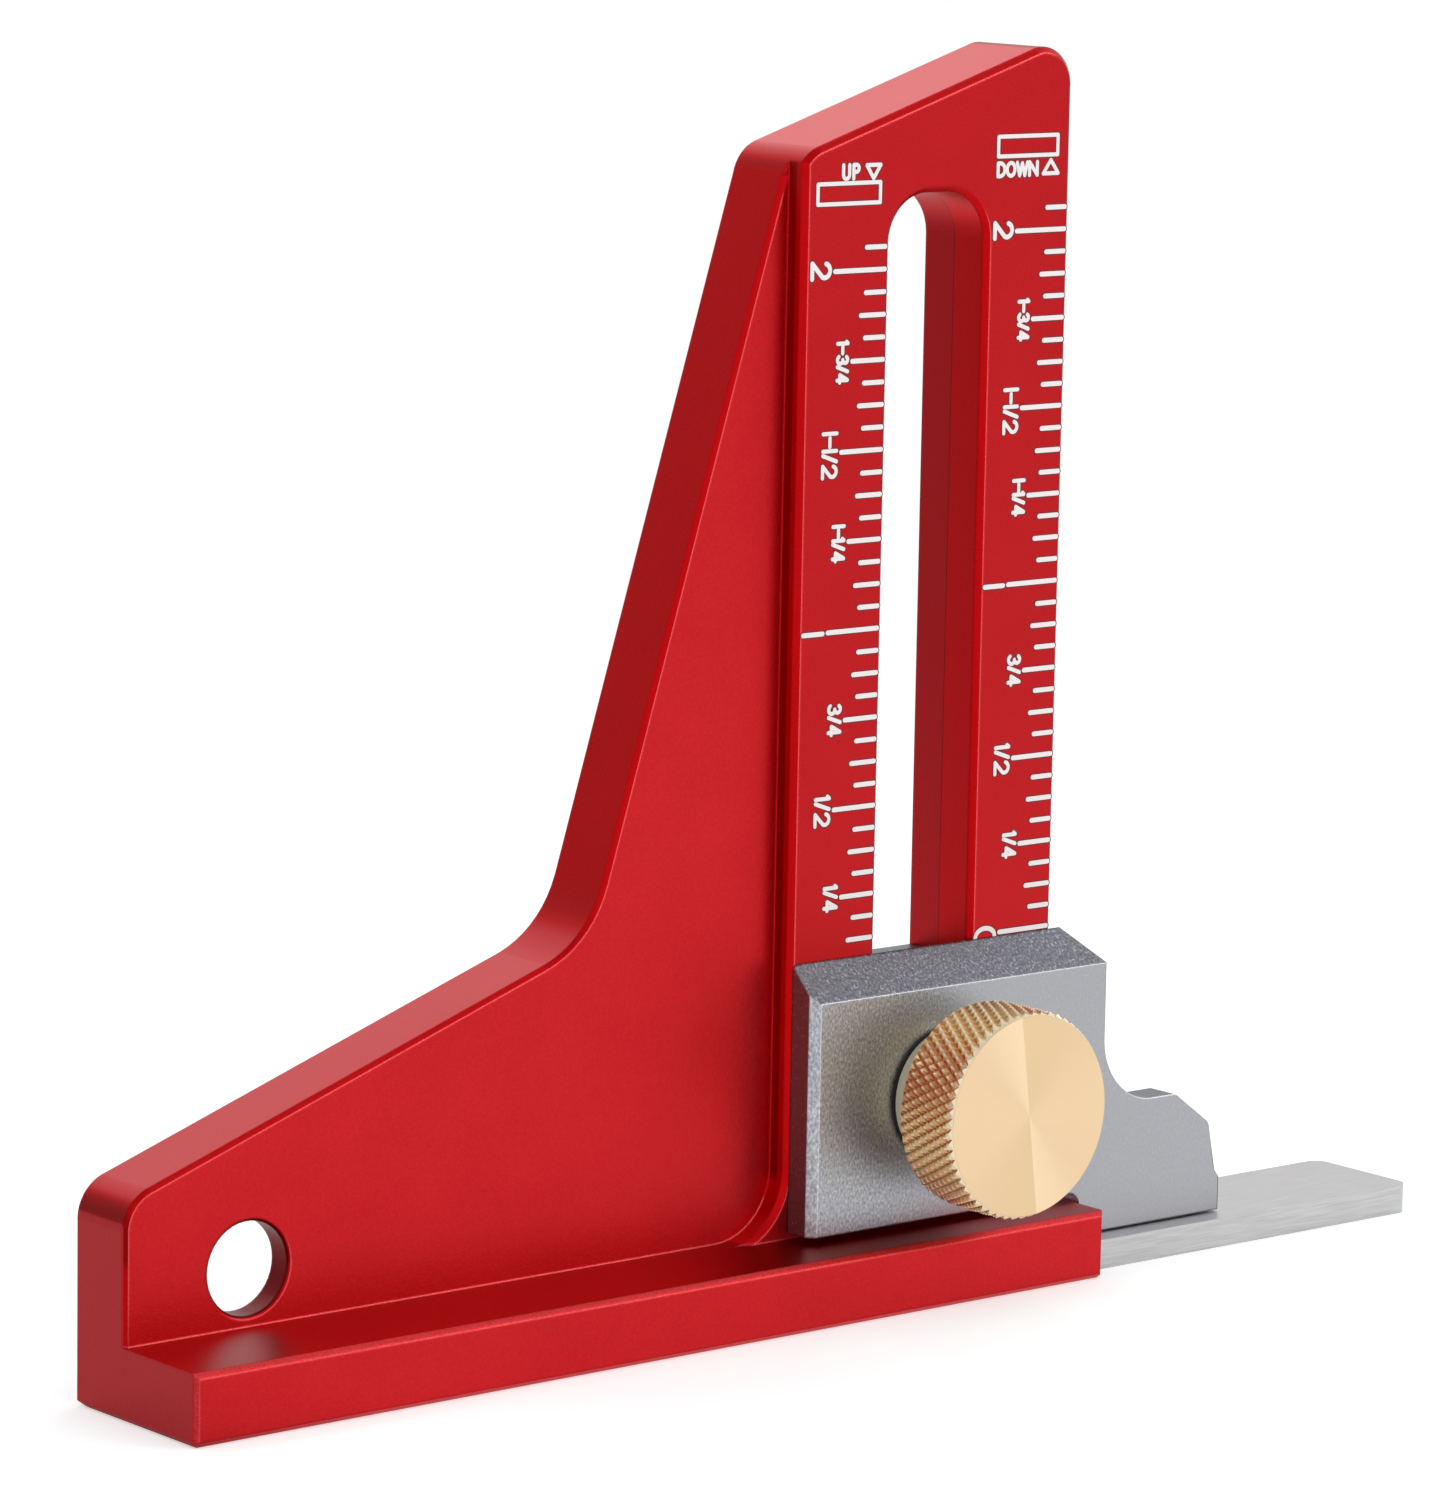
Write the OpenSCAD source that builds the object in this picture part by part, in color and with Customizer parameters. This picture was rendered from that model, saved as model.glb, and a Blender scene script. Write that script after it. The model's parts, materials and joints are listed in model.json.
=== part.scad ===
// Magnetic height gauge: a machined frame with a slotted scale column, a slide with a measuring arm
// that a knurled knob clamps in the slot, and a flat bar that runs out under the arm.
// X runs along the base, Y from the scale face to the flat back, and Z up. The origin is on the sole,
// straight below the middle of the slot, in the plane of the scale face.

/* [Frame] */
// Length of the base from the middle of the slot to its far end
base_l = 67.8; // [60:0.1:90]
// Height of the base rail
rail_h = 5; // [4.6:0.1:7]
// Distance that the rail stands out in front of the scale face
rail_out = 6.5; // [6:0.1:9]
// Thickness of the frame from the scale face to the back
frame_t = 7.5; // [7:0.1:10]
// Distance that the web's face lies behind the scale face
web_drop = 1.7; // [1:0.1:2.5]
// Height of the base's far end, below its round corner
heel_h = 14.84; // [14:0.02:18]
// Rise of the web's long low edge, in degrees
heel_rise = 19; // [15:0.5:23]
// Rise of the web's steep edge, in degrees
web_rise = 72.8; // [70:0.1:76]
// Round of the corner above the far end
heel_r = 3; // [1:0.1:5]
// Inward round between the low edge and the steep edge
bend_r = 8; // [4:0.1:12]
// Round where the column's side sweeps into the top of the rail
pocket_r = 5; // [2:0.1:7]
// Round of the long edge under the back
back_edge_r = 1.2; // [0.5:0.1:1.8]

/* [Column] */
// Width of the scale column
column_w = 25; // [24.6:0.1:27]
// Height of the column's sloping top, above the middle of the slot
column_h = 86; // [75:0.5:120]
// Slope of the column's top, in degrees
top_rise = 17.75; // [10:0.25:25]
// Round of the column's low top corner
shoulder_r = 3; // [1:0.1:4]
// Round of the column's high top corner
peak_r = 2.8; // [1:0.1:4]

/* [Slot] */
// Width of the slot
slot_w = 8.9; // [8:0.1:10]
// Height of the lower end of the slot's straight sides above the rail
slot_rise = 5.4; // [5:0.1:7]
// Distance from the column's top down to the upper end of the slot's straight sides
slot_head = 10.55; // [10:0.05:16]
// Round of the slot's corners
slot_r = 3.5; // [2:0.1:3.9]
// Depth of the groove behind the slot, which guides the clamp nut
groove_d = 1; // [0.5:0.1:1.2]
// Round of the groove's corners
groove_r = 3; // [1:0.1:4]

/* [Hanging hole] */
// Diameter of the hole
hang_d = 6.5; // [4:0.1:8]
// Distance from the far end to the hole's centre
hang_inset = 10; // [9:0.1:14]
// Height of the hole's centre above the sole
hang_z = 9; // [8.6:0.1:10]
// Thickness of the wall that the hole goes through
hang_lip = 1.9; // [1:0.1:3]
// Diameter of the relief behind that wall
hang_relief_d = 14; // [10:0.1:15]

/* [Slide] */
// Thickness of the slide's plate
slide_t = 2.5; // [2:0.1:4]
// Height of the slide's plate
plate_h = 19.4; // [18:0.1:24]
// Distance from the middle of the slot to the plate's plain side
plate_left = 12.25; // [11:0.05:13]
// Distance from the middle of the slot to the plate's side above the arm
plate_right = 15.7; // [15:0.1:18]
// Height of the tongue that runs in the slot
tongue_h = 13.15; // [12:0.05:14]
// Gap between the plate and the rail when the slide is down
plate_gap = 0.5; // [0.3:0.1:1]
// Gap between the arm and the bar when the slide is down
arm_gap = 0.1; // [0.1:0.05:0.3]

/* [Arm] */
// Distance from the middle of the slot to the arm's end
arm_reach = 27.7; // [26:0.1:32]
// Height of the arm
arm_h = 9.4; // [8:0.1:10]
// Inward round between the plate's side and the top of the arm
throat_r = 5; // [3:0.1:5]
// Gap between the arm and the side of the column
arm_side_gap = 1.15; // [0.5:0.05:2]

/* [Knob] */
// Diameter over the knurl
knob_d = 15.1; // [13:0.1:16]
// Length of the knurled head
head_l = 5.55; // [4:0.05:8]
// Diameter of the collar behind the head
collar_d = 9.7; // [8:0.1:12]
// Length of the collar
collar_l = 3.45; // [2:0.05:6]
// Height of the knob's axis above the lower edge of the plate
knob_rise = 9.06; // [8.5:0.02:9.6]
// Number of knurl teeth round the head
knurl_teeth = 60; // [40:1:72]
// Depth of the knurl
knurl_depth = 0.3; // [0.1:0.05:0.4]
// Lean of the knurl's grooves from the knob's axis, in degrees
knurl_lean = 30; // [25:1:45]

/* [Clamp] */
// Diameter of the clamp stud
stud_d = 5; // [4:0.1:5.4]
// Thickness of the washer under the knob
washer_t = 0.25; // [0.2:0.05:0.6]
// Width and height of the clamp nut
nut_w = 12; // [11:0.1:13]
// Thickness of the clamp nut
nut_t = 2.2; // [1.5:0.1:4]

/* [Bar] */
// Length of the bar
bar_l = 60; // [56:0.1:70]
// Width of the bar
bar_w = 10; // [8:0.1:10]
// Thickness of the bar
bar_t = 2.2; // [2:0.1:2.4]
// Distance from the middle of the slot to the bar's free end
bar_reach = 46.15; // [40:0.05:50]
// Distance that the bar's front edge stands out in front of the scale face
bar_front = 4.5; // [3.5:0.1:5]
// Round of the bar's corners
bar_r = 1.2; // [0.4:0.1:3]

/* [Bar screws] */
// Diameter of the screws that hold the bar
screw_d = 3; // [2:0.1:3]
// Diameter of their countersunk heads
screw_head_d = 5.6; // [5:0.1:6]
// Length of the screws
screw_l = 4.6; // [4:0.1:4.6]
// Distance from the bar's hidden end to the first screw
screw_inset = 4.85; // [4:0.05:6]
// Distance from the column's right side to the second screw
screw_margin = 3.5; // [3.5:0.1:5]

/* [Magnets] */
// Diameter of the magnets in the sole
magnet_d = 8; // [5:0.1:8]
// Thickness of the magnets
magnet_t = 3; // [2:0.1:3]
// Number of magnets along the rail
magnet_count = 3; // [2:1:3]
// Distance from the far end to the first magnet, and from the last magnet to the bar
magnet_inset = 8; // [6:0.1:9]

/* [Hidden] */
$fn = 96;

// Overrun of every cut beyond the face that it opens
over = 1;
// Lap of a straight edge break over the round one beside it, which is cut shallower by the same
// amount, so that the two cutters share no face
lap = 0.01;
// Growth of the circle that rounds a corner, so that it crosses both sides instead of touching them
cross = 0.002;
// Running gap between the plate and the column, and round the tongue, the nut and the stud
run_gap = 0.05;
// Gap round pieces that are pressed, glued or screwed into their seats
seat_gap = 0.02;
// Edge breaks of the scale face, the web, the rail, the back and the hanging hole
column_break = 0.4;
web_break = 0.3;
rail_break = 0.35;
back_break = 0.3;
hang_break = 0.2;
// Front edge break and top corner round of the plate's plain side
plate_break = 0.6;
plate_r = 0.5;
// Setback of the plate's sloping corner above the arm
plate_slope = 2.5;
// Inward round between the foot of the plate and the inner side of the arm
crook_r = 1.1;
// Nose of the arm: setbacks from the arm's end, and heights above the arm's foot
nose_top_back = 4.7;
nose_brow_back = 1.2;
nose_brow_h = 6.8;
nose_lip_back = 0.45;
nose_lip_h = 3.1;
nose_end_h = 2.5;
// Rounds of the nose's top and brow
nose_r = 0.8;
// Gap between the tongue's end and the clamp nut
tongue_short = 0.2;
// Rim of the knob's face: its width along the axis and the fall of its radius
rim_l = 0.55;
rim_fall = 0.35;
// Breaks of the head's back edge and of the collar
head_break = 0.35;
collar_break = 0.15;
// Wall left in the knob in front of the stud
knob_wall = 2.6;
// Length of the stud that stands out behind the nut, and the break of its tip
stud_out = 0.4;
stud_break = 0.5;
// Breaks of the nut's rim and of its threaded hole
nut_break = 0.4;
// Depth of the screw heads below the sole, and the screws' hexagon sockets
screw_sink = 0.1;
screw_key = 2;
screw_key_depth = 1;
// Gap round the screws in the bar
screw_gap = 0.1;
// Depth of the magnets' faces above the sole, and distance of their row in front of the scale face
magnet_sink = 0.2;
magnet_out = 1.5;

// Heights above the sole
slot_low = rail_h + slot_rise;
slot_high = column_h - slot_head;
plate_low = rail_h + plate_gap;
plate_high = plate_low + plate_h;
arm_low = bar_t + arm_gap;
arm_high = arm_low + arm_h;
knob_z = plate_low + knob_rise;
tongue_low = slot_low + run_gap;
// Places along Y, from the back of the frame to the knob's face
groove_y = frame_t - groove_d;
nut_y = groove_y + run_gap;
plate_back = -run_gap;
plate_front = plate_back - slide_t;
washer_front = plate_front - washer_t;
head_back = washer_front - collar_l;
knob_face = head_back - head_l;
bar_y = bar_w / 2 - bar_front;
// Place along X of the bar's hidden end
bar_end = bar_reach - bar_l;
// Groove behind the slot: half its width, its low end, which clears the nut's square corners, and its
// high end, as far from the slot's end as its sides are from the slot's sides
groove_side = nut_w / 2 + run_gap;
groove_low = knob_z - nut_w / 2 - run_gap - groove_r;
groove_high = slot_high + slot_r + groove_side - slot_w / 2;

// Corners of the frame's outline, as X and Z
column_side = column_w / 2;
web_slope = tan(web_rise);
heel_slope = tan(heel_rise);
toe = [column_side, 0];
peak = [column_side, column_h + column_side * tan(top_rise)];
shoulder = [-column_side, column_h - column_side * tan(top_rise)];
bend_x = (heel_h + base_l * heel_slope - shoulder[1] - column_side * web_slope)
         / (web_slope - heel_slope);
bend = [bend_x, heel_h + (bend_x + base_l) * heel_slope];
heel = [-base_l, heel_h];
sole_end = [-base_l, 0];
pocket = [-column_side, rail_h];
// Corners of the slide's outline, as X and Z
throat = [plate_right, arm_high];
nose_top = [arm_reach - nose_top_back, arm_high];
nose_brow = [arm_reach - nose_brow_back, arm_low + nose_brow_h];
nose_lip = [arm_reach - nose_lip_back, arm_low + nose_lip_h];
arm_side = column_side + arm_side_gap;

// Height of one row of knurl crossings, from the pitch round the head and the lean of the grooves
knob_r = knob_d / 2;
knurl_row = PI * knob_d / knurl_teeth / tan(knurl_lean) / 2;
knurl_rows = ceil(head_l / knurl_row) + 2;

// Unit vector from a corner p towards a
function towards(p, a) = (a - p) / norm(a - p);
// Unit vector from a corner p that halves the angle between a and b
function halfway(p, a, b) = towards([0, 0], towards(p, a) + towards(p, b));
// Half the angle at a corner p between a and b
function half_angle(p, a, b) = acos(towards(p, a) * towards(p, b)) / 2;
// Distance from a corner to the points where a round of radius r touches its sides
function run_in(p, a, b, r) = r / tan(half_angle(p, a, b));
// Centre of the round of radius r in a corner
function round_centre(p, a, b, r) = p + halfway(p, a, b) * r / sin(half_angle(p, a, b));
// Direction of a vector in degrees
function heading(v) = atan2(v[1], v[0]);

// The sliver between a corner and its round: cut off outside a corner, or added inside one
module corner_sliver(p, a, b, r) {
    difference() {
        polygon([
            p - over * halfway(p, a, b),
            p + towards(p, a) * run_in(p, a, b, r),
            round_centre(p, a, b, r),
            p + towards(p, b) * run_in(p, a, b, r)
        ]);
        translate(round_centre(p, a, b, r)) circle(r + cross);
    }
}

// An outline drawn in X and Z, made solid from y = front to y = back
module upright(front, back) {
    translate([0, back, 0]) rotate([90, 0, 0]) linear_extrude(back - front) children();
}

// A cylinder along Y from y = front to y = back
module rod(d, front, back, x = 0, z = 0) {
    translate([x, back, z]) rotate([90, 0, 0]) cylinder(d = d, h = back - front);
}

// A profile of radius and y, turned round an axis along Y at a given height
module turned(z = 0) {
    translate([0, 0, z]) rotate([-90, 0, 0]) rotate_extrude() children();
}

// A 45 degree edge break of width w along a straight edge from a to b, in the plane at y
module straight_break(a, b, y, w) {
    translate([a[0], y, a[1]]) rotate([0, 90 - heading(b - a), 0])
        linear_extrude(norm(b - a)) circle(w, $fn = 4);
}

// The same break round a circular edge, from one heading through an angle
module round_break(centre, r, from, angle, y, w) {
    translate([centre[0], y, centre[1]]) rotate([90, 0, 0]) rotate([0, 0, from])
        rotate_extrude(angle = angle) translate([r, 0]) circle(w - lap, $fn = 4);
}

// The break round a rounded corner p between a and b: outside a corner, or inside one
module corner_break(p, a, b, r, y, w) {
    centre = round_centre(p, a, b, r);
    from = heading(p + towards(p, a) * run_in(p, a, b, r) - centre);
    to = heading(p + towards(p, b) * run_in(p, a, b, r) - centre);
    turn = to - from - 360 * round((to - from) / 360);
    round_break(centre, r, turn < 0 ? to : from, abs(turn), y, w);
}

// Break along the straight part of a side between two rounded corners
module side_break(a, b, cut_a, cut_b, y, w) {
    straight_break(a + towards(a, b) * (cut_a - lap), b - towards(a, b) * (cut_b - lap), y, w);
}

// An outline of straight sides whose corners all have the same round
module rounded_outline(corners, r) {
    count = len(corners);
    difference() {
        polygon(corners);
        for (i = [0:count - 1])
            corner_sliver(corners[i], corners[(i + count - 1) % count], corners[(i + 1) % count], r);
    }
}

// Break along the whole rim of such an outline
module rounded_break(corners, r, y, w) {
    count = len(corners);
    for (i = [0:count - 1]) {
        before = corners[(i + count - 1) % count];
        after = corners[(i + 1) % count];
        next = corners[(i + 2) % count];
        side_break(corners[i], after, run_in(corners[i], before, after, r),
                   run_in(after, corners[i], next, r), y, w);
        corner_break(corners[i], before, after, r, y, w);
    }
}

// Whole outline of the frame, seen from the front
module frame_outline() {
    difference() {
        union() {
            polygon([sole_end, toe, peak, shoulder, bend, heel]);
            corner_sliver(bend, shoulder, heel, bend_r);
        }
        corner_sliver(heel, sole_end, bend, heel_r);
        corner_sliver(shoulder, bend, peak, shoulder_r);
        corner_sliver(peak, shoulder, toe, peak_r);
    }
}

// Outline of the raised face: the column, the rail and the sweep between them
module face_outline() {
    intersection() {
        frame_outline();
        union() {
            translate([-column_side, 0]) square([column_w, peak[1]]);
            translate([-base_l, 0]) square([base_l, rail_h]);
            corner_sliver(pocket, shoulder, [-base_l, rail_h], pocket_r);
        }
    }
}

// Edge breaks of the column's top, of its right side and of the web, in the plane at y
module top_breaks(y, w) {
    shoulder_run = run_in(shoulder, bend, peak, shoulder_r);
    peak_run = run_in(peak, shoulder, toe, peak_r);
    corner_break(shoulder, bend, peak, shoulder_r, y, w);
    side_break(shoulder, peak, shoulder_run, peak_run, y, w);
    corner_break(peak, shoulder, toe, peak_r, y, w);
    side_break(peak, toe, peak_run, 0, y, w);
}

module web_breaks(y, w) {
    heel_run = run_in(heel, sole_end, bend, heel_r);
    bend_run = run_in(bend, shoulder, heel, bend_r);
    shoulder_run = run_in(shoulder, bend, peak, shoulder_r);
    side_break(shoulder, bend, shoulder_run, bend_run, y, w);
    corner_break(bend, shoulder, heel, bend_r, y, w);
    side_break(bend, heel, bend_run, heel_run, y, w);
    corner_break(heel, sole_end, bend, heel_r, y, w);
    side_break(heel, sole_end, heel_run, 0, y, w);
}

// Break down the column's plain side and along the sweep, which fades out in the top of the rail
module pocket_breaks() {
    pocket_run = run_in(pocket, shoulder, [-base_l, rail_h], pocket_r);
    side_break(shoulder, pocket, 0, pocket_run, 0, column_break);
    corner_break(pocket, shoulder, [-base_l, rail_h], pocket_r, 0, column_break);
}

// Room above the rail, which keeps the breaks of the pocket and the web out of its top
module above_rail() {
    translate([-base_l - over, -rail_out - over, rail_h])
        cube([base_l + column_w, rail_out + frame_t + over, peak[1]]);
}

module rail_breaks() {
    front = -rail_out;
    straight_break([-base_l - over, rail_h], [column_side + over, rail_h], front, rail_break);
    straight_break([-base_l - over, 0], [column_side + over, 0], front, rail_break);
    for (x = [-base_l, column_side]) straight_break([x, -over], [x, rail_h + over], front, web_break);
    for (x = [-base_l, column_side])
        translate([x, -rail_out - over, 0]) rotate([-90, 0, 0])
            linear_extrude(rail_out + frame_t + 2 * over) circle(rail_break, $fn = 4);
}

// Round of the long edge under the back
module back_edge_cut() {
    centre_y = frame_t - back_edge_r;
    translate([-base_l - over, 0, 0]) difference() {
        translate([0, centre_y, -over]) cube([base_l + column_side + 2 * over, back_edge_r + over,
                                              back_edge_r + over]);
        translate([-over, centre_y, back_edge_r]) rotate([0, 90, 0])
            cylinder(r = back_edge_r, h = base_l + column_side + 4 * over);
    }
}

module hanging_hole() {
    x = hang_inset - base_l;
    rod(hang_d, web_drop - over, frame_t + over, x, hang_z);
    rod(hang_relief_d, web_drop + hang_lip, frame_t + over, x, hang_z);
    round_break([x, hang_z], hang_d / 2, 0, 360, web_drop, hang_break);
    round_break([x, hang_z], hang_relief_d / 2, 0, 360, frame_t, back_break);
}

// Outline of the bar with a gap round it, seen from below
module bar_outline(gap) {
    left = bar_end - gap;
    right = bar_reach + gap;
    front = bar_y - bar_w / 2 - gap;
    back = bar_y + bar_w / 2 + gap;
    rounded_outline([[left, front], [right, front], [right, back], [left, back]], bar_r);
}

module at_screws() {
    for (x = [bar_end + screw_inset, column_side - screw_margin]) translate([x, bar_y, 0]) children();
}

module at_magnets() {
    first = magnet_inset - base_l;
    spacing = (bar_end - magnet_inset - first) / (magnet_count - 1);
    for (i = [0:magnet_count - 1]) translate([first + i * spacing, -magnet_out, 0]) children();
}

// Corners of an upright rectangle from -side to side and from low to high
function upright_corners(side, low, high) = [[-side, low], [side, low], [side, high], [-side, high]];

module frame() {
    slot = upright_corners(slot_w / 2, slot_low - slot_r, slot_high + slot_r);
    groove = upright_corners(groove_side, groove_low, groove_high);
    color("firebrick") difference() {
        union() {
            upright(web_drop, frame_t) frame_outline();
            upright(0, frame_t) face_outline();
            upright(-rail_out, frame_t) translate([-base_l, 0]) square([base_l + column_side, rail_h]);
        }
        upright(-over, frame_t + over) rounded_outline(slot, slot_r);
        upright(groove_y, frame_t + over) rounded_outline(groove, groove_r);
        rounded_break(slot, slot_r, 0, column_break);
        rounded_break(groove, groove_r, frame_t, back_break);
        intersection() {
            union() {
                top_breaks(0, column_break);
                pocket_breaks();
                web_breaks(web_drop, web_break);
            }
            above_rail();
        }
        top_breaks(frame_t, back_break);
        web_breaks(frame_t, back_break);
        rail_breaks();
        back_edge_cut();
        hanging_hole();
        translate([0, 0, -over]) linear_extrude(bar_t + over) bar_outline(seat_gap);
        at_screws() cylinder(d = screw_d + 2 * seat_gap, h = screw_l + screw_sink + seat_gap);
        at_magnets() translate([0, 0, -over])
            cylinder(d = magnet_d + 2 * seat_gap, h = magnet_sink + magnet_t + seat_gap + over);
    }
}

// Outline of the plate and the arm, seen from the front
module slide_outline() {
    low_left = [-plate_left, plate_low];
    high_left = [-plate_left, plate_high];
    high_right = [plate_right - plate_slope, plate_high];
    slope_end = [plate_right, plate_high - plate_slope];
    foot = [arm_reach, arm_low];
    inner = [arm_side, plate_low];
    difference() {
        union() {
            polygon([low_left, inner, [arm_side, arm_low], foot, [arm_reach, arm_low + nose_end_h],
                     nose_lip, nose_brow, nose_top, throat, slope_end, high_right, high_left]);
            corner_sliver(throat, slope_end, nose_top, throat_r);
            corner_sliver(inner, low_left, [arm_side, arm_low], crook_r);
        }
        corner_sliver(high_left, low_left, high_right, plate_r);
        corner_sliver(nose_top, throat, nose_brow, nose_r);
        corner_sliver(nose_brow, nose_top, nose_lip, nose_r);
    }
}

module slide() {
    tongue_w = slot_w - 2 * run_gap;
    color("silver") difference() {
        union() {
            upright(plate_front, plate_back) slide_outline();
            translate([-tongue_w / 2, plate_back - over, tongue_low])
                cube([tongue_w, groove_y - tongue_short - plate_back + over, tongue_h]);
        }
        // The long bevel of the top edge, which leads the eye to the scales
        translate([-plate_left - over, plate_back, plate_high]) rotate([45, 0, 0])
            translate([0, -slide_t * 2, 0]) cube([plate_left + plate_right + 2 * over, slide_t * 2,
                                                  slide_t]);
        straight_break([-plate_left, plate_low - over], [-plate_left, plate_high + over], plate_front,
                       plate_break);
        rod(stud_d + 2 * run_gap, plate_front - over, frame_t, 0, knob_z);
    }
}

// Points of the knurled barrel: rings of valleys and crests that change places from row to row
module knurl_barrel() {
    count = 2 * knurl_teeth;
    first = knob_face - knurl_row;
    radii = [knob_r, knob_r - knurl_depth];
    rings = [for (k = [0:knurl_rows]) for (i = [0:count - 1])
        let(a = 360 * i / count, r = radii[(i + k) % 2]) [r * cos(a), first + k * knurl_row, r * sin(a)]];
    front = count * (knurl_rows + 1);
    ends = [[0, first, 0], [0, first + knurl_rows * knurl_row, 0]];
    sides = [for (k = [0:knurl_rows - 1]) for (i = [0:count - 1])
        let(j = (i + 1) % count, a = k * count + i, b = k * count + j, c = a + count, d = b + count)
        each (i + k) % 2 == 0 ? [[a, b, c], [b, d, c]] : [[a, b, d], [a, d, c]]];
    last = knurl_rows * count;
    caps = [for (i = [0:count - 1]) let(j = (i + 1) % count)
        each [[front, j, i], [front + 1, last + i, last + j]]];
    polyhedron(concat(rings, ends), concat(sides, caps));
}

module clamp_knob() {
    face_r = knob_r - rim_fall;
    wide = knob_r + over;
    color("goldenrod") translate([0, 0, knob_z]) difference() {
        union() {
            intersection() {
                knurl_barrel();
                turned() polygon([
                    [0, knob_face], [face_r, knob_face],
                    [wide, knob_face + (wide - face_r) * rim_l / rim_fall],
                    [wide, head_back - head_break - over], [knob_r - head_break, head_back],
                    [0, head_back]
                ]);
            }
            turned() polygon([
                [0, knob_face + knob_wall], [collar_d / 2, knob_face + knob_wall],
                [collar_d / 2, washer_front - collar_break],
                [collar_d / 2 - collar_break, washer_front], [0, washer_front]
            ]);
        }
        rod(stud_d + 2 * seat_gap, knob_face + knob_wall, washer_front + over);
    }
}

module knob_washer() {
    color("black") difference() {
        rod(collar_d, washer_front, plate_front, 0, knob_z);
        rod(stud_d + 2 * run_gap, washer_front - over, plate_front + over, 0, knob_z);
    }
}

module clamp_stud() {
    r = stud_d / 2;
    front = knob_face + knob_wall + seat_gap;
    tip = nut_y + nut_t + stud_out;
    color("gray") turned(knob_z) polygon([
        [0, front], [r, front], [r, tip - stud_break], [r - stud_break, tip], [0, tip]
    ]);
}

module clamp_nut() {
    back = nut_y + nut_t;
    half = nut_w / 2;
    color("dimgray") difference() {
        translate([-half, nut_y, knob_z - half]) cube([nut_w, nut_t, nut_w]);
        rod(stud_d + 2 * run_gap, nut_y - over, back + over, 0, knob_z);
        round_break([0, knob_z], stud_d / 2 + run_gap, 0, 360, back, nut_break);
        for (x = [-half, half])
            straight_break([x, knob_z - half - over], [x, knob_z + half + over], back, nut_break);
        for (z = [knob_z - half, knob_z + half])
            straight_break([-half - over, z], [half + over, z], back, nut_break);
    }
}

module base_bar() {
    color("lightgray") difference() {
        linear_extrude(bar_t - seat_gap) bar_outline(0);
        at_screws() {
            translate([0, 0, -over]) cylinder(d = screw_d + 2 * screw_gap, h = bar_t + 2 * over);
            screw_seat(screw_gap);
        }
    }
}

// Countersink that takes a screw's head with a gap round it
module screw_seat(gap) {
    deep = (screw_head_d - screw_d) / 2;
    wide = screw_head_d / 2 + gap;
    translate([0, 0, -over]) cylinder(r = wide, h = over + screw_sink);
    translate([0, 0, screw_sink]) cylinder(r1 = wide, r2 = wide - deep, h = deep);
}

module bar_screws() {
    deep = (screw_head_d - screw_d) / 2;
    color("dimgray") at_screws() translate([0, 0, screw_sink]) difference() {
        union() {
            cylinder(r1 = screw_head_d / 2, r2 = screw_d / 2, h = deep);
            cylinder(d = screw_d, h = screw_l);
        }
        translate([0, 0, -over]) cylinder(d = screw_key / cos(30), h = screw_key_depth + over, $fn = 6);
    }
}

module base_magnets() {
    color("slategray") at_magnets() translate([0, 0, magnet_sink]) cylinder(d = magnet_d, h = magnet_t);
}

frame();
slide();
clamp_knob();
knob_washer();
clamp_stud();
clamp_nut();
base_bar();
bar_screws();
base_magnets();
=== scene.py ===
"""Magnetic height gauge: the finishes, the printed scales, the camera and the light.

X runs along the base, Y from the scale face to the back, and Z up. The scale face is the plane y = 0.
"""

import json
from math import cos, pi, radians, sin, tan

import bmesh
import bpy
from mathutils import Matrix, Vector


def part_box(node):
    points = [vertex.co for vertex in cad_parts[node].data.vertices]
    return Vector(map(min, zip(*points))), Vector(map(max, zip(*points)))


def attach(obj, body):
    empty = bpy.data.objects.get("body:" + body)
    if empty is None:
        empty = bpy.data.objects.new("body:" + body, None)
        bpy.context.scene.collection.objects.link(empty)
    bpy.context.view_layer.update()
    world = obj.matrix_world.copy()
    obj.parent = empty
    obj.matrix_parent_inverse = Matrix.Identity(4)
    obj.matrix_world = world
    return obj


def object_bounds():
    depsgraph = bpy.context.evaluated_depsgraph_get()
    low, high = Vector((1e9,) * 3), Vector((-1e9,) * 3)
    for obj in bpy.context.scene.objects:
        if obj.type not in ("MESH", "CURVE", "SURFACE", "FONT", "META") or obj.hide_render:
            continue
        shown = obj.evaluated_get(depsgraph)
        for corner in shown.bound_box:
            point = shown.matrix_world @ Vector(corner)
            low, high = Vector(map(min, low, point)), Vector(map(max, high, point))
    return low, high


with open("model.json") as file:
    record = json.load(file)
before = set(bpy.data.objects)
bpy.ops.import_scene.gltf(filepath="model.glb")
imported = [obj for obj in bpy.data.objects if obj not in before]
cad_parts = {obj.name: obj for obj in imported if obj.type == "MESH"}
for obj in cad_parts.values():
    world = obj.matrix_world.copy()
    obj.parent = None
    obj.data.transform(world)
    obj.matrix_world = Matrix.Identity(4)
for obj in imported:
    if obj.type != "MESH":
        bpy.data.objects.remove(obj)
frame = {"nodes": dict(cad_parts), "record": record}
cad_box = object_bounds()

MM = 0.001
INCH = 25.4 * MM
SIXTEENTH = INCH / 16

# The photograph's camera
CAMERA_PLACE = Vector((-300.89, -340.24, 112.23)) * MM
CAMERA_AZIMUTH = radians(39.687)
CAMERA_DIP = radians(9.167)
CAMERA_ROLL = radians(1.049)
CAMERA_LENS = 159.34
CAMERA_SENSOR = 36

# Features that a finish has to find on the frame
SLOT_WALL_X = 4.45 * MM
SLOT_LOW_Z = 9 * MM
SLOT_TOP_Z = 79 * MM
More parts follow.
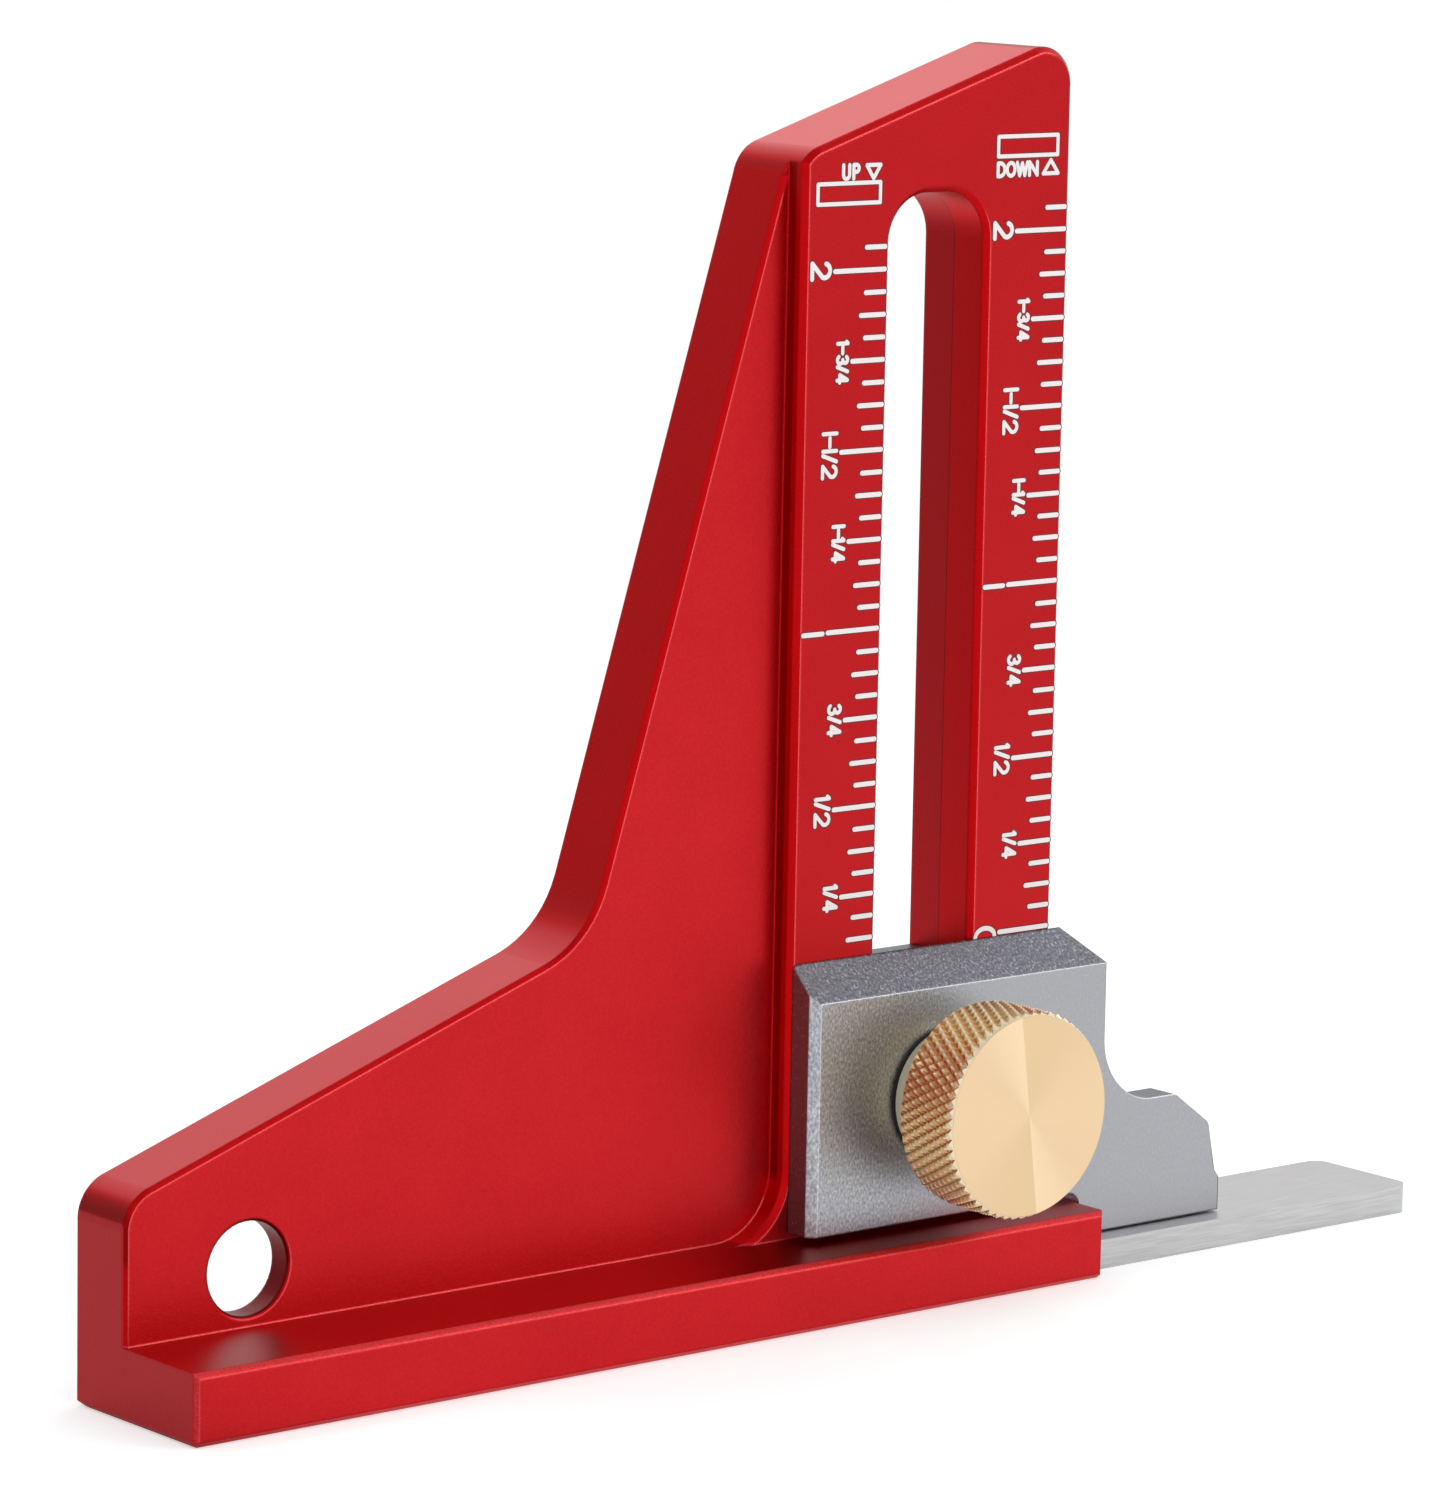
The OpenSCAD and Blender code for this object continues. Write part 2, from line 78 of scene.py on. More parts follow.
# The line where the slot's two cuts meet: its place, half its width, and how it fades
SLOT_LINE_Y = 3.4 * MM
SLOT_LINE_HALF = 0.02 * MM
SLOT_LINE_FADE = 0.05 * MM
# Wall between the web and the scale column: its place, half the strip it lies in, and where it starts
COLUMN_LEFT = -12.5 * MM
POCKET_HALF = 0.5 * MM
POCKET_Y = 0.8 * MM
RAIL_TOP = 5 * MM
FAR_END = cad_box[0][0]
HOLE = next(mount for mount in frame["record"]["mounts"] if mount["name"] == "hanging_hole")
# Width over which most painted features fade out
FEATHER = 0.1 * MM

# Slide: how far on both sides of the slot's middle its blasting turns finer, and the height up to which
# its lower edges get painted shade
FINER_X = 6 * MM
SHADED_EDGE_Z = 6 * MM

# Knob: its knurl, its turned rim, the length of its head, and how its face and collar fade in
KNURL_DEPTH = 0.3 * MM
KNURL_TEETH = 60
KNURL_LEAN = radians(30)
KNOB_RIM = 0.55 * MM
KNOB_HEAD = 5.55 * MM
KNOB_FACE_EDGE = 0.03 * MM
COLLAR_FADE = 0.04 * MM
# Turned face: width of its rings, width and slope of the fine ones, where the fan of light has its
# sharp edge, in half turns, and a small length that keeps the very middle from a division by 0
RING_W = 0.12 * MM
FINE_RING_W = 0.02 * MM
FINE_RING_SLOPE = 0.64
FAN_TURN = 0.54
LEAST_RADIUS = 0.0001 * MM

# Blasted frame: width and depth of its grain, the round of its edges, and the clouds in its red film
FRAME_GRAIN_W = 0.16 * MM
FRAME_GRAIN_DEPTH = 0.016 * MM
FRAME_ROUND = 0.28 * MM
FILM_CLOUD_W = 5 * MM
# Blasted slide: width and depth of its grain, the squeeze that draws it out along Z, and the round
SLIDE_GRAIN_W = 0.17 * MM
SLIDE_GRAIN_DEPTH = 0.026 * MM
SLIDE_SQUEEZE = (1.0, 1.0, 0.6)
SLIDE_ROUND = 0.20 * MM
# Ground bar: width and depth of its strokes, and the squeeze that draws them out along X
BAR_STROKE_W = 0.12 * MM
BAR_STROKE_DEPTH = 0.006 * MM
BAR_SQUEEZE = (0.04, 1.0, 1.0)


class Value:
    """A number, colour or direction that changes over a surface; its operators add Math nodes."""

    def __init__(self, tree, socket):
        self.tree = tree
        self.socket = socket

    def __add__(self, other):
        return self.tree.maths("ADD", self, other)

    __radd__ = __add__

    def __sub__(self, other):
        return self.tree.maths("SUBTRACT", self, other)

    def __rsub__(self, other):
        return self.tree.maths("SUBTRACT", other, self)

    def __mul__(self, other):
        return self.tree.maths("MULTIPLY", self, other)

    __rmul__ = __mul__

    def __truediv__(self, other):
        return self.tree.maths("DIVIDE", self, other)

    def absolute(self):
        return self.tree.maths("ABSOLUTE", self)

    def fraction(self):
        """What is left of the number without its whole part."""
        return self.tree.maths("FRACT", self)

    def ramp(self, low, high):
        """0 up to low, 1 from high, and a smooth rise between them; low may lie above high."""
        settings = {"interpolation_type": "SMOOTHSTEP"}
        sockets = {"Value": self, "From Min": low, "From Max": high}
        return self.tree.node("ShaderNodeMapRange", settings, sockets)

    def above(self, limit, fade):
        """0 up to the limit, and 1 once the fade is past."""
        return self.ramp(limit, limit + fade)

    def below(self, limit, fade):
        """1 up to the limit, and 0 once the fade is past."""
        return self.ramp(limit + fade, limit)


class Tree:
    """A node tree, with one method that adds any node."""

    # The Mix node has sockets for every kind of value; these are the ones for colours
    MIX_FACTOR, MIX_FIRST, MIX_SECOND, MIX_RESULT = 0, 6, 7, 2

    def __init__(self, node_tree):
        self.nodes = node_tree.nodes
        self.links = node_tree.links
        self.nodes.clear()

    def node(self, kind, settings=None, sockets=None, output=0):
        """Adds a node and gives one of its outputs, if it has any."""
        made = self.nodes.new(kind)
        for name, value in (settings or {}).items():
            setattr(made, name, value)
        for name, value in (sockets or {}).items():
            self.feed(made.inputs[name], value)
        return Value(self, made.outputs[output]) if made.outputs else None

    def feed(self, socket, value):
        """Links a value to a socket, or sets the socket to a constant."""
        if isinstance(value, Value):
            self.links.new(value.socket, socket)
        else:
            socket.default_value = value

    def other_output(self, value, output):
        """Another output of the node that a value comes from."""
        return Value(self, value.socket.node.outputs[output])

    def maths(self, operation, *numbers):
        return self.node("ShaderNodeMath", {"operation": operation}, dict(enumerate(numbers)))

    def vector_maths(self, operation, *vectors, output=0):
        settings = {"operation": operation}
        return self.node("ShaderNodeVectorMath", settings, dict(enumerate(vectors)), output)

    def vector(self, x, y, z):
        return self.node("ShaderNodeCombineXYZ", sockets={0: x, 1: y, 2: z})

    def axes(self, vector):
        """The three numbers of a vector."""
        x = self.node("ShaderNodeSeparateXYZ", sockets={0: vector})
        return x, self.other_output(x, "Y"), self.other_output(x, "Z")

    def length(self, vector):
        return self.vector_maths("LENGTH", vector, output="Value")

    def scaled(self, vector, factors):
        return self.vector_maths("MULTIPLY", vector, factors)

    def angle(self, x, z):
        """Angle round the Y axis from +X towards +Z, in radians."""
        return self.maths("ARCTAN2", z, x)

    def position(self):
        """The point's place on the object, in metres."""
        return self.node("ShaderNodeTexCoord", output="Object")

    def facing(self):
        """The way that the surface faces."""
        return self.node("ShaderNodeNewGeometry", output="Normal")

    def noise(self, place, size, detail=2.0, roughness=0.5):
        """Noise from 0 to 1 whose main features are about size metres wide."""
        sockets = {"Vector": place, "Scale": 1 / size, "Detail": detail, "Roughness": roughness}
        return self.node("ShaderNodeTexNoise", {"noise_dimensions": "3D"}, sockets)

    def white_noise(self, number):
        return self.node("ShaderNodeTexWhiteNoise", {"noise_dimensions": "1D"}, {"W": number})

    def mix(self, first, second, factor):
        """A colour from first, at factor 0, to second, at factor 1."""
        sockets = {self.MIX_FACTOR: factor, self.MIX_FIRST: first, self.MIX_SECOND: second}
        return self.node("ShaderNodeMix", {"data_type": "RGBA"}, sockets, self.MIX_RESULT)

    def layered(self, colour, *layers):
        """A colour under layers, each a pair of a colour and how much it covers, from 0 to 1."""
        for over, cover in layers:
            colour = self.mix(colour, over, cover)
        return colour

    def soft_edges(self, radius):
        """Normals that turn over a small round along every sharp edge."""
        return self.node("ShaderNodeBevel", {"samples": 6}, {"Radius": radius})

    def edge_lines(self, rounded):
        """Where to paint highlights and shade: 1 along the edges that turn up or left, and 1 along
        those that turn down or right.
        """
        edge = self.vector_maths("DOT_PRODUCT", rounded, self.facing(), output="Value")
        edge = edge.ramp(0.985, 0.955)
        side, _, rise = self.axes(rounded)
        return edge * (rise - side).ramp(0.05, 0.25), edge * (rise - side).ramp(-0.05, -0.25)

    def bump(self, height, depth, normal=None):
        """A normal from a height of 0 to 1 that stands for depth metres."""
        sockets = {"Height": height, "Distance": depth}
        if normal is not None:
            sockets["Normal"] = normal
        return self.node("ShaderNodeBump", sockets=sockets)


class Finish(Tree):
    """A material round one Principled shader; constants go straight onto the shader's sockets."""

    def __init__(self, name, constants=None):
        self.material = bpy.data.materials.new(name)
        self.material.use_nodes = True
        super().__init__(self.material.node_tree)
        self.shader = self.node("ShaderNodeBsdfPrincipled", sockets=constants)
        self.node("ShaderNodeOutputMaterial", sockets={"Surface": self.shader})

    def set(self, socket, value):
        self.feed(self.shader.socket.node.inputs[socket], value)


class Surface:
    """Where a finish's point lies on the object, in metres, and which way the surface faces there."""

    def __init__(self, look):
        self.place = look.position()
        self.x, self.y, self.z = look.axes(self.place)
        self.side, self.depth, self.rise = look.axes(look.facing())


def linear(level):
    """Light from a screen's level of 0 to 255, by the curve that screens use."""
    share = level / 255
    return share / 12.92 if share <= 0.04045 else ((share + 0.055) / 1.055) ** 2.4


def rgb(red, green, blue):
    """A shader colour from a colour as a screen shows it, 0 to 255."""
    return linear(red), linear(green), linear(blue), 1.0


# Reds of the frame; a pair is the dark and the light of the mottled film
WEB_REDS = rgb(187, 20, 26), rgb(215, 32, 39)
SCALE_FACE_REDS = rgb(177, 14, 21), rgb(203, 25, 32)
EDGE_REDS = rgb(186, 4, 9), rgb(206, 12, 19)
# Slopes paler with painted sheen, and the bend, steeper than the slopes, darker with painted shade
SLOPE_SHEEN_REDS = rgb(190, 32, 38), rgb(212, 46, 52)
BEND_SHADE_RED = rgb(158, 2, 6)
# Painted reflection: faces that look straight up, such as the rail top, darker as if they mirrored the
# shaded web
RAIL_TOP_SHADE_RED = rgb(162, 5, 9)
# Painted highlight: a dotted pale line along the rail's top front edge
RAIL_EDGE_HIGHLIGHT_RED = rgb(222, 70, 75)
# Painted shade on the faces beside the far end, from 10 mm up
HEEL_SHADE_RED = rgb(150, 4, 8)
END_RED = rgb(190, 42, 48)
# Painted shade on the wall between the web and the scale column
POCKET_SHADE_RED = rgb(150, 2, 4)
SLOT_BACK_RED = rgb(178, 22, 27)
SLOT_LINE_RED = rgb(112, 10, 14)
# Painted shade inside the hanging hole
HOLE_SHADE_RED = rgb(118, 6, 10)
# Painted highlight along front edges that turn up or left, and painted shade along those that turn down
# or right
EDGE_HIGHLIGHT_RED = rgb(250, 112, 114)
SHADED_RED = rgb(146, 6, 12)


def in_slot(at):
    """1 on the slot's wall behind the line where its two cuts meet, and 1 on the line."""
    wall = at.x.absolute().below(SLOT_WALL_X + FEATHER, FEATHER)
    wall = wall * at.z.above(SLOT_LOW_Z, MM) * at.z.below(SLOT_TOP_Z + FEATHER, 2 * FEATHER)
    behind = wall * at.y.above(SLOT_LINE_Y, SLOT_LINE_HALF)
    return behind, wall * (at.y - SLOT_LINE_Y).absolute().below(SLOT_LINE_HALF, SLOT_LINE_FADE)


def in_hole(look, at):
    """1 on the wall of the hanging hole."""
    centre_x, _, centre_z = HOLE["pos_m"]
    radius = HOLE["dims"]["r_mm"] * MM
    distance = look.length(look.vector(at.x - centre_x, 0.0, at.z - centre_z))
    return distance.below(radius + FEATHER / 2, FEATHER)


def in_pocket(at):
    """1 on and beside the wall between the web and the scale column."""
    strip = (at.x - COLUMN_LEFT).absolute().below(POCKET_HALF, FEATHER)
    return strip * at.y.above(POCKET_Y, 2 * FEATHER)


def red_film(look, at, front, slope, mottle):
    """The film's colour by the way that the frame faces: web, scale face, edges, slopes paler with
    painted sheen, and the bend darker with painted shade.
    """
    scale_face = front * at.y.absolute().below(FEATHER, 2 * FEATHER)
    bend = at.rise.ramp(0.27, 0.52) * at.rise.ramp(0.68, 0.56)
    face = look.mix(look.mix(*WEB_REDS, mottle), look.mix(*SCALE_FACE_REDS, mottle), scale_face)
    edge = look.mix(look.mix(*EDGE_REDS, mottle), look.mix(*SLOPE_SHEEN_REDS, mottle), slope)
    return look.mix(look.mix(edge, BEND_SHADE_RED, bend * 0.4), face, front)


def frame_marks(look, at, front, pocket, grain):
    """Colours of the frame's own features and of its painted shade, reflection and highlight, each with
    how much it covers.
    """
    rail_edge = at.depth.ramp(-0.50, -0.60) * at.depth.ramp(-0.90, -0.80)
    rail_edge = rail_edge * at.z.below(RAIL_TOP + FEATHER / 2, 2 * FEATHER)
    heel = at.x.below(FAR_END + 2 * FEATHER, 7 * FEATHER) * at.z.above(2 * RAIL_TOP, MM)
    slot_back, slot_line = in_slot(at)
    return (
        # Painted reflection of the shaded web on faces that look straight up
        (RAIL_TOP_SHADE_RED, at.rise.ramp(0.96, 0.985)),
        # Painted highlight along the rail's top front edge
        (RAIL_EDGE_HIGHLIGHT_RED, rail_edge * (grain * 1.6 - 0.3)),
        # Painted shade beside the far end
        (HEEL_SHADE_RED, heel * (1 - front)),
        (END_RED, at.x.below(FAR_END + FEATHER / 2, FEATHER / 2)),
        # Painted shade on the pocket wall
        (POCKET_SHADE_RED, pocket * at.side.ramp(-0.98, -0.995)),
        (SLOT_BACK_RED, slot_back),
        (SLOT_LINE_RED, slot_line * 0.8),
        # Painted shade on the hanging hole's wall
        (HOLE_SHADE_RED, in_hole(look, at) * (1 - front)),
    )


def red_anodised():
    """Bead-blasted aluminium under a red anodic film, with painted highlights and painted shade along
    its front edges.
    """
    look = Finish("red_anodised", {"Metallic": 1.0, "Coat Roughness": 0.3})
    at = Surface(look)
    grain = look.noise(at.place, FRAME_GRAIN_W, detail=3.0, roughness=0.6)
    cloud = look.noise(at.place, FILM_CLOUD_W)
    mottle = 0.5 + (cloud - 0.5) * 0.4 + (grain - 0.5) * 1.2
    front = at.depth.absolute().ramp(0.80, 0.95)
    slope = at.rise.ramp(0.64, 0.78) * at.rise.ramp(0.97, 0.955)
    pocket = in_pocket(at)
    rounded = look.soft_edges(FRAME_ROUND)
    lit, shaded = look.edge_lines(rounded)
    # Strength of the painted edge highlight: more on the coarse grain and above the rail
    highlight_share = 0.15 + grain * 0.9 + at.z.above(RAIL_TOP, RAIL_TOP) * 0.3
    colour = red_film(look, at, front, slope, mottle)
    colour = look.layered(colour, *frame_marks(look, at, front, pocket, grain))
    # Painted highlight along the front edges, kept off the pocket wall; then painted shade along the
    # others
    colour = look.mix(colour, EDGE_HIGHLIGHT_RED, lit * front * (1 - pocket) * highlight_share)
    look.set("Base Color", look.mix(colour, SHADED_RED, shaded * front * 0.8))
    look.set("Roughness", 0.34 + grain * 0.10)
    look.set("Coat Weight", 0.05 + 0.10 * front + 0.15 * slope)
    look.set("Normal", look.bump(grain, FRAME_GRAIN_DEPTH, rounded))
    return look.material


# Greys of the slide; a pair is the dark and the light of the blasted grain
COARSE_GREYS = rgb(152, 155, 163), rgb(209, 212, 220)
FINE_GREYS = rgb(152, 152, 157), rgb(190, 189, 193)
BEVEL_GREYS = rgb(106, 108, 117), rgb(152, 153, 160)
# Painted shade on the slide's upward faces, and on its left faces, tinted against the web's red
# reflection
TOP_SHADE_GREY = rgb(116, 118, 124)
LEFT_SHADE_GREY = rgb(132, 144, 148)
GLINT_GREY = rgb(232, 232, 234)
# Painted shade along the slide's low front edges
LOW_EDGE_SHADE_GREY = rgb(96, 98, 102)
# Painted highlight along the slide's front edges
EDGE_HIGHLIGHT_GREY = rgb(250, 250, 252)


def blasted_steel():
    """Pearl grey blasted steel of the slide, coarser on its bevel and by the knob than on the arm, with
    painted glints, painted shade and painted edge highlights.
    """
    look = Finish("blasted_steel", {"Metallic": 1.0})
    at = Surface(look)
    squeezed = look.scaled(at.place, SLIDE_SQUEEZE)
    grain = look.noise(squeezed, SLIDE_GRAIN_W, detail=3.0, roughness=0.6)
    front = at.depth.ramp(-0.85, -0.95)
    fine = front * at.x.ramp(-FINER_X, FINER_X)
    coarse = 1 - 0.80 * fine
    speckle = 0.5 + (grain - 0.5) * coarse * 3.4
    bevel = at.depth.ramp(-0.60, -0.68) * at.rise.ramp(0.60, 0.68)
    rounded = look.soft_edges(SLIDE_ROUND)
    lit, shaded = look.edge_lines(rounded)
    colour = look.layered(
        look.mix(*COARSE_GREYS, speckle),
        (look.mix(*FINE_GREYS, speckle), fine),
        (look.mix(*BEVEL_GREYS, speckle), bevel),
        # Painted shade on upward faces, and on left faces tinted against the red that they reflect
        (TOP_SHADE_GREY, at.rise.ramp(0.95, 0.98)),
        (LEFT_SHADE_GREY, at.side.ramp(-0.90, -0.98)),
        (GLINT_GREY, grain.ramp(0.58, 0.70) * coarse * 0.5),
        # Painted shade along low front edges that turn down or right
        (LOW_EDGE_SHADE_GREY, shaded * front * at.z.below(SHADED_EDGE_Z, 2 * MM)),
        # Painted highlight along front edges that turn up or left
        (EDGE_HIGHLIGHT_GREY, lit * front * (0.3 + grain)),
    )
    look.set("Base Color", colour)
    look.set("Roughness", 0.36 + grain * 0.12)
    look.set("Normal", look.bump(grain, SLIDE_GRAIN_DEPTH, rounded))
    return look.material


# Brass of the knob; a pair is the dark and the light of the rings, or of the knurl, whose light is a
# painted highlight on its crests
FACE_BRASSES = rgb(234, 201, 160), rgb(241, 209, 170)
FAN_BRIGHT = rgb(250, 219, 180)
FAN_DULL = rgb(234, 202, 159)
RIM_BRASS = rgb(246, 236, 200)
KNURL_BRASSES = rgb(216, 184, 126), rgb(255, 244, 210)
COLLAR_BRASS = rgb(236, 226, 192)


def knurl_ridge(look, x, y, z, diameter):
    """1 along the ridges that lean one way round the knob, and 0 in the grooves between them: where the
    knurl's painted highlights go.
    """
    row = pi * diameter / KNURL_TEETH / tan(KNURL_LEAN) / 2
    turn = look.angle(x, z) * (KNURL_TEETH / (2 * pi)) + (y + row) / (2 * row)
    return (turn.fraction() - 0.5).absolute().ramp(0.28, 0.46)


def turned_face(look, x, z, radius):
    """Colour of the knob's face: its rings, and a fan of light round its middle."""
    rings = look.noise(look.vector(radius, 0.0, 0.0), RING_W, detail=3.0)
    fan = (look.angle(x, z) / pi - FAN_TURN).fraction()
    colour = look.mix(*FACE_BRASSES, rings)
    return look.layered(colour, (FAN_BRIGHT, fan.ramp(0.26, 0.0)), (FAN_DULL, fan.ramp(0.62, 0.98)))


def turned_normal(look, x, z, radius, face):
    """Normals of the knob, which on its face tilt by chance from one fine ring to the next."""
    chance = look.white_noise(radius / FINE_RING_W) - 0.5
    tilt = chance * face * FINE_RING_SLOPE / (radius + LEAST_RADIUS)
    outward = look.vector(x * tilt, 0.0, z * tilt)
    return look.vector_maths("NORMALIZE", look.vector_maths("ADD", look.facing(), outward))


def turned_brass():
    """Brass knob: a turned face and rim, a coppery knurl with painted highlights on its crests, and a
    duller collar.
    """
    look = Finish("turned_brass")
    low, high = (Vector(corner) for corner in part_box("clamp_knob"))
    place = look.position()
    x, y, z = look.axes(place)
    y = y - low.y
    z = z - (low.z + high.z) / 2
    radius = look.length(look.vector(x, 0.0, z))
    rim = y.below(KNOB_RIM - FEATHER / 2, FEATHER)
    face = y.below(KNOB_FACE_EDGE, KNOB_FACE_EDGE)
    collar = y.above(KNOB_HEAD - COLLAR_FADE / 2, COLLAR_FADE)
    crest = radius.ramp(high.x - KNURL_DEPTH, high.x - KNURL_DEPTH * 0.1)
    # Painted highlight on the crests of one lean, strongest at the outside
    crest_highlight = knurl_ridge(look, x, y, z, high.x * 2) * (0.30 + 0.70 * crest)
    turned_colour = look.mix(RIM_BRASS, turned_face(look, x, z, radius), face)
    colour = look.layered(look.mix(*KNURL_BRASSES, crest_highlight), (turned_colour, rim), (COLLAR_BRASS, collar))
    look.set("Base Color", colour)
    # The painted crest highlights are less metallic, so that they stay pale
    look.set("Metallic", 1 - 0.85 * crest_highlight * (1 - rim) * (1 - collar))
    look.set("Roughness", 0.26 + look.noise(place, 0.2 * MM) * 0.08)
    look.set("Normal", turned_normal(look, x, z, radius, face))
    return look.material


def brushed_stainless():
    """Stainless bar, ground along its length."""
    look = Finish("brushed_stainless", {"Metallic": 1.0})
    squeezed = look.scaled(look.position(), BAR_SQUEEZE)
    strokes = look.noise(squeezed, BAR_STROKE_W, detail=3.0)
    look.set("Base Color", look.mix(rgb(170, 168, 169), rgb(218, 216, 217), strokes))
    look.set("Roughness", 0.26 + strokes * 0.12)
    look.set("Normal", look.bump(strokes, BAR_STROKE_DEPTH))
    return look.material


def grained(name, dark, light, grain_size, metallic=0.0, roughness=0.5, duller=0.0, bump=0.0):
    """An even finish whose grain shows in its colour and, where given, in its roughness and height."""
    look = Finish(name, {"Metallic": metallic, "Roughness": roughness})
    grain = look.noise(look.position(), grain_size)
    look.set("Base Color", look.mix(dark, light, grain))
    if duller:
        look.set("Roughness", roughness + grain * duller)
    if bump:
        look.set("Normal", look.bump(grain, bump))
    return look.material


def black_fibre():
    return grained("black_fibre", rgb(16, 16, 16), rgb(36, 35, 34), grain_size=0.2 * MM,
                   roughness=0.7)


def threaded_steel():
    return grained("threaded_steel", rgb(120, 120, 122), rgb(150, 150, 152), grain_size=0.3 * MM,
                   metallic=1.0, roughness=0.3, duller=0.1)


def dark_steel():
    return grained("dark_steel", rgb(84, 84, 88), rgb(112, 112, 116), grain_size=0.25 * MM,
                   metallic=1.0, roughness=0.32, duller=0.12, bump=0.004 * MM)


def nickel_plate():
    return grained("nickel_plate", rgb(205, 205, 208), rgb(222, 221, 220), grain_size=0.6 * MM,
                   metallic=1.0, roughness=0.14, duller=0.08)


def white_print():
    return grained("white_print", rgb(250, 238, 238), rgb(254, 248, 248), grain_size=0.3 * MM,
                   roughness=0.6)


# Painted shade: a dark rim round the white print
def print_shade_rim():
    return grained("print_shade_rim", rgb(104, 8, 16), rgb(130, 12, 20), grain_size=0.2 * MM,
                   roughness=0.6)


# Printed scales: heights of the two zero lines, and the places along X where their lines end
UP_ZERO_Z = 22.95 * MM
DOWN_ZERO_Z = 25.15 * MM
UP_TICK_END = -4.85 * MM
DOWN_TICK_END = 12.1 * MM
UP_FIRST_SIXTEENTH = 2
LAST_SIXTEENTH = 33
TICK_STROKE = 0.35 * MM
FINE_STROKE = 0.29 * MM
LABEL_GAP = 0.10 * MM
GLYPH_GAP_SHARE = 0.24
# How far the print stands proud of the scale face and reaches into it
PRINT_PROUD = 0.016 * MM
PRINT_SUNK = 0.004 * MM
# Pen lines that cross lie on different layers, this far apart
PRINT_LAYER = 0.0006 * MM
PRINT_LAYERS = 8
# Dark rim of painted shade round the white print
PRINT_SHADE_W = 0.09 * MM
PRINT_SHADE_PROUD = 0.006 * MM
# A pen line is broken where it turns by more than this, and each of its round ends has so many steps
PEN_CORNER = radians(40)
PEN_END_STEPS = 6

# Tick lengths by the coarsest fraction that a line marks, in sixteenths
TICK_LENGTHS = ((16, 4.95 * MM), (8, 4.05 * MM), (4, 3.2 * MM), (2, 2.5 * MM), (1, 2.08 * MM))
# Labels: sixteenths, text, height, and how far the first character starts above its line
LABELS = (
    (4, "1/4", 1.15 * MM, 0.74 * MM),
    (8, "1/2", 1.28 * MM, 0.87 * MM),
    (12, "3/4", 1.08 * MM, 1.10 * MM),
    (16, "l", 1.80 * MM, -0.04 * MM),
    (20, "l-1/4", 1.03 * MM, 1.12 * MM),
    (24, "l-l/2", 1.25 * MM, 1.36 * MM),
    (28, "1-3/4", 0.94 * MM, 1.29 * MM),
    (32, "2", 1.63 * MM, 0.62 * MM),
)
ZERO_LABEL = (0, "0", 1.85 * MM, 0.42 * MM)


def mm(*numbers):
    """Lengths in metres from millimetres."""
    return tuple(n * MM for n in numbers)


# Heads of the scales: the word with its lower left corner, its height and its gaps; the left, low,
# right and high of the box; and the arrow's base left, base right and tip
HEADS = (
    {
        "name": "up",
        "word": "UP",
        "word_place": mm(-9.03, 80.17),
        "word_height": 0.96 * MM,
        "gap_share": 0.40,
        "box": mm(-11.32, 78.45, -5.60, 79.86),
        "arrow": (mm(-6.89, 81.07), mm(-5.61, 81.07), mm(-6.25, 80.13)),
    },
    {
        "name": "down",
        "word": "DOWN",
        "word_place": mm(5.40, 79.90),
        "word_height": 0.92 * MM,
        "gap_share": 0.24,
        "box": mm(5.40, 81.30, 11.08, 82.70),
        "arrow": (mm(9.73, 79.97), mm(11.16, 79.97), mm(10.44, 80.92)),
    },
)


def arc(centre, across, up, start, turn, steps):
    """Points along part of an ellipse, with its angles in degrees."""
    angles = [radians(start + turn * i / steps) for i in range(steps + 1)]
    return [(centre[0] + across * cos(a), centre[1] + up * sin(a)) for a in angles]


# Each character's width, and its strokes of points (along the line of writing, up) at a height of 1.
# A small l stands for a 1 without its flag.
GLYPHS = {
    "0": (0.68, [arc((0.34, 0.5), 0.34, 0.5, start, 180, 14) for start in (90, 270)]),
    "1": (0.0, [[(-0.12, 0.86), (0.0, 1.0), (0.0, 0.0)]]),
    "l": (0.0, [[(0.0, 1.0), (0.0, 0.0)]]),
    "2": (0.64, [arc((0.32, 0.70), 0.30, 0.30, 165, -190, 14) + [(0.0, 0.0), (0.66, 0.0)]]),
    "3": (0.52, [arc((0.24, 0.76), 0.24, 0.24, 150, -240, 12)
                 + arc((0.24, 0.27), 0.28, 0.27, 80, -230, 12)]),
    "4": (0.56, [[(0.56, 0.26), (0.0, 0.26), (0.40, 1.0), (0.40, 0.0)]]),
    "/": (0.36, [[(0.0, 0.0), (0.36, 1.0)]]),
    "-": (0.50, [[(0.0, 0.5), (0.50, 0.5)]]),
    "U": (0.58, [[(0.0, 1.0), (0.0, 0.29)]
                 + arc((0.29, 0.29), 0.29, 0.29, 180, 180, 8)
                 + [(0.58, 1.0)]]),
    "P": (0.50, [[(0.0, 0.0), (0.0, 1.0), (0.24, 1.0)]
                 + arc((0.24, 0.74), 0.26, 0.26, 90, -180, 8)
                 + [(0.0, 0.48)]]),
    "D": (0.70, [[(0.0, 0.0), (0.0, 1.0), (0.22, 1.0)]
                 + arc((0.22, 0.5), 0.48, 0.5, 90, -180, 12)
                 + [(0.0, 0.0)]]),
    "O": (0.80, [arc((0.40, 0.5), 0.40, 0.5, start, 180, 12) for start in (90, 270)]),
    "W": (1.05, [[(0.0, 1.0), (0.26, 0.0), (0.525, 0.95), (0.79, 0.0), (1.05, 1.0)]]),
    "N": (0.80, [[(0.0, 0.0), (0.0, 1.0), (0.80, 0.0), (0.80, 1.0)]]),
}


